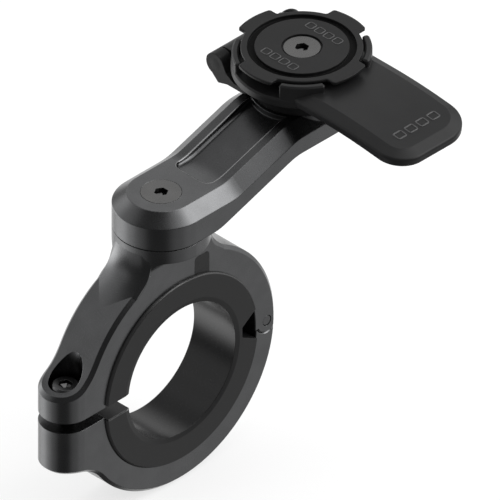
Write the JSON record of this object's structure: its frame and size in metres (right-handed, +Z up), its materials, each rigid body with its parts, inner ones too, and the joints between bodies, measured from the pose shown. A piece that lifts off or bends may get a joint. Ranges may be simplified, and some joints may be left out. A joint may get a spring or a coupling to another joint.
{
  "type": "bike phone mount",
  "caption": "Handlebar clamp with a cranked swivel arm and a lobed twist-lock disc for a phone, with a sprung release lever.",
  "frame": {"origin": "centre of the handlebar bore", "axes": "+X along the handlebar, +Y forward from the swivel to the phone head, +Z up along the swivel axes"},
  "size_m": [0.0658, 0.102, 0.0983],
  "materials": {
    "anodised": "satin",
    "insert_plastic": "matte",
    "head_plastic": "matte",
    "black_steel": "satin",
    "spring_steel": "satin"
  },
  "bodies": {
    "clamp": {"clamp_body": "anodised", "bar_insert": "insert_plastic", "jaw_pin": "black_steel", "pivot_screw": "black_steel", "pivot_washer": "head_plastic"},
    "jaw": {"clamp_jaw": "anodised"},
    "bolt": {"clamp_bolt": "black_steel"},
    "swing_arm": {"arm": "anodised", "head_screw": "black_steel"},
    "head": {"head_base": "head_plastic", "lever_pin": "black_steel", "lever_spring": "spring_steel", "lock_disc": "head_plastic"},
    "release_lever": {"lever": "head_plastic"}
  },
  "joints": [
    {"name": "jaw_swing", "type": "hinge", "parent": "clamp", "child": "jaw", "pos_m": [0, 0.02875, -0.0003], "axis": [1, 0, 0], "range_deg": [0, 55]},
    {"name": "bolt_lift", "type": "slide", "parent": "clamp", "child": "bolt", "axis": [0, 0, 1], "range_m": [0, 0.016]},
    {"name": "arm_swivel", "type": "hinge", "parent": "clamp", "child": "swing_arm", "pos_m": [0, 0, 0.044], "axis": [0, 0, 1], "continuous": true},
    {"name": "head_turn", "type": "hinge", "parent": "swing_arm", "child": "head", "pos_m": [0, 0.04685, 0.056], "axis": [0, 0, 1], "continuous": true},
    {"name": "lever_press", "type": "hinge", "parent": "head", "child": "release_lever", "pos_m": [-0.0173, 0.04685, 0.0585], "axis": [0, 1, 0], "range_deg": [0, 6], "stiffness_Nm_per_rad": 1.5, "springref_deg": -11.46, "deforming": ["lever_spring"]}
  ],
  "couplings": [
    {"joint": "bolt_lift", "follows": "jaw_swing", "m_per_rad": 0.0165}
  ]
}
